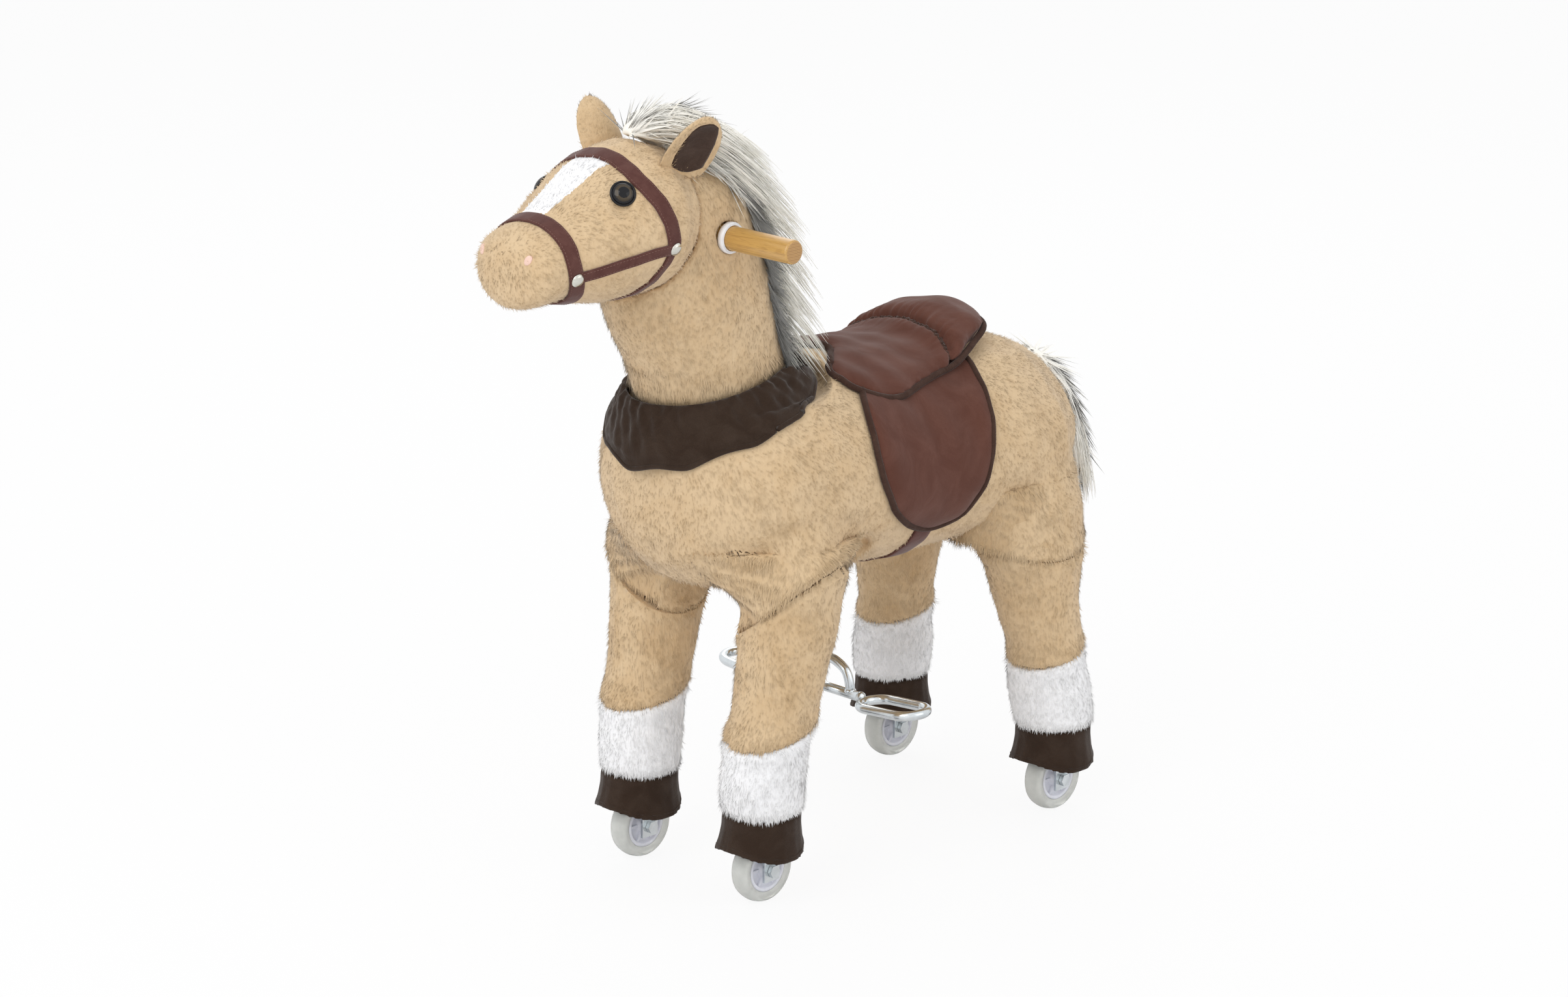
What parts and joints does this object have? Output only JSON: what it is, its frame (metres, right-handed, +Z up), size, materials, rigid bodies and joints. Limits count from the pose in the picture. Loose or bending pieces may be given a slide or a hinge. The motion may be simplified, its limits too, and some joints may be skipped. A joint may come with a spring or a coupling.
{
  "type": "plush ride on animal",
  "caption": "Tan plush horse on wheels for a child to ride: steering neck with wooden handles, swinging leg frames, saddle, collar, bridle and a foot bar with stirrups.",
  "frame": {"origin": "centre of the bounding box's floor plan, on the floor under the wheels", "axes": "+X towards the horse's left side, -Y forwards (the way it faces), +Z up"},
  "size_m": [0.3516, 0.8962, 0.8877],
  "materials": {
    "tan_plush": "short tan plush fur",
    "white_plush": "white plush fur",
    "cream_hair": "long cream fibre hair",
    "dark_suede": "dark brown suede cloth",
    "saddle_velour": "brown velour",
    "bridle_webbing": "brown webbing",
    "handle_wood": "varnished pine",
    "zinc_steel": "bright zinc plate",
    "painted_steel": "grey paint",
    "tyre_urethane": "milky cast urethane",
    "hub_plastic": "pale moulded plastic",
    "white_plastic": "white moulded plastic",
    "eye_gloss": "gloss"
  },
  "bodies": {
    "chassis": {"rear_hinge_pin": "zinc_steel", "spine_frame": "painted_steel", "pedal_post": "painted_steel", "foot_crossbar": "zinc_steel", "left_stirrup": "zinc_steel", "right_stirrup": "zinc_steel", "torso": "tan_plush", "tail": "cream_hair", "collar": "dark_suede", "saddle_seat": "saddle_velour", "saddle_skirt": "saddle_velour", "girth_strap": "bridle_webbing"},
    "steering": {"fork_crown": "painted_steel", "front_hinge_pin": "zinc_steel", "steering_column": "painted_steel", "handle_bar": "handle_wood", "head": "tan_plush", "neck": "tan_plush", "left_grommet": "white_plastic", "right_grommet": "white_plastic", "left_eye": "eye_gloss", "left_ear": "tan_plush", "right_eye": "eye_gloss", "right_ear": "tan_plush", "mane": "cream_hair", "bridle": "bridle_webbing", "left_noseband_stud": "zinc_steel", "left_cheek_stud": "zinc_steel", "right_noseband_stud": "zinc_steel", "right_cheek_stud": "zinc_steel"},
    "front_legs": {"front_left_axle_bolt": "zinc_steel", "front_left_leg_tube": "zinc_steel", "front_right_axle_bolt": "zinc_steel", "front_right_leg_tube": "zinc_steel", "front_cross_tube": "zinc_steel", "front_left_leg": "tan_plush", "front_left_sock": "white_plush", "front_left_hoof": "dark_suede", "front_right_leg": "tan_plush", "front_right_sock": "white_plush", "front_right_hoof": "dark_suede"},
    "rear_legs": {"rear_left_axle_bolt": "zinc_steel", "rear_left_leg_tube": "zinc_steel", "rear_right_axle_bolt": "zinc_steel", "rear_right_leg_tube": "zinc_steel", "rear_cross_tube": "zinc_steel", "rear_left_leg": "tan_plush", "rear_left_sock": "white_plush", "rear_left_hoof": "dark_suede", "rear_right_leg": "tan_plush", "rear_right_sock": "white_plush", "rear_right_hoof": "dark_suede"},
    "front_left_wheel": {"front_left_tyre": "tyre_urethane", "front_left_wheel_hub": "hub_plastic"},
    "front_right_wheel": {"front_right_tyre": "tyre_urethane", "front_right_wheel_hub": "hub_plastic"},
    "rear_left_wheel": {"rear_left_tyre": "tyre_urethane", "rear_left_wheel_hub": "hub_plastic"},
    "rear_right_wheel": {"rear_right_tyre": "tyre_urethane", "rear_right_wheel_hub": "hub_plastic"}
  },
  "joints": [
    {"name": "steer", "type": "hinge", "parent": "chassis", "child": "steering", "pos_m": [0, -0.14606, 0.465], "axis": [0, 0, 1], "range_deg": [-12, 12]},
    {"name": "front_swing", "type": "hinge", "parent": "steering", "child": "front_legs", "pos_m": [0, -0.14606, 0.465], "axis": [1, 0, 0], "range_deg": [-6, 6], "stiffness_Nm_per_rad": 120},
    {"name": "rear_swing", "type": "hinge", "parent": "chassis", "child": "rear_legs", "pos_m": [0, 0.25394, 0.465], "axis": [1, 0, 0], "range_deg": [-6, 6], "stiffness_Nm_per_rad": 120},
    {"name": "front_left_wheel_spin", "type": "hinge", "parent": "front_legs", "child": "front_left_wheel", "pos_m": [0.097, -0.16706, 0.038], "axis": [1, 0, 0], "continuous": true},
    {"name": "front_right_wheel_spin", "type": "hinge", "parent": "front_legs", "child": "front_right_wheel", "pos_m": [-0.097, -0.16706, 0.038], "axis": [1, 0, 0], "continuous": true},
    {"name": "rear_left_wheel_spin", "type": "hinge", "parent": "rear_legs", "child": "rear_left_wheel", "pos_m": [0.1285, 0.27494, 0.038], "axis": [1, 0, 0], "continuous": true},
    {"name": "rear_right_wheel_spin", "type": "hinge", "parent": "rear_legs", "child": "rear_right_wheel", "pos_m": [-0.1285, 0.27494, 0.038], "axis": [1, 0, 0], "continuous": true}
  ],
  "couplings": [
    {"joint": "rear_swing", "follows": "front_swing", "ratio": -1}
  ]
}
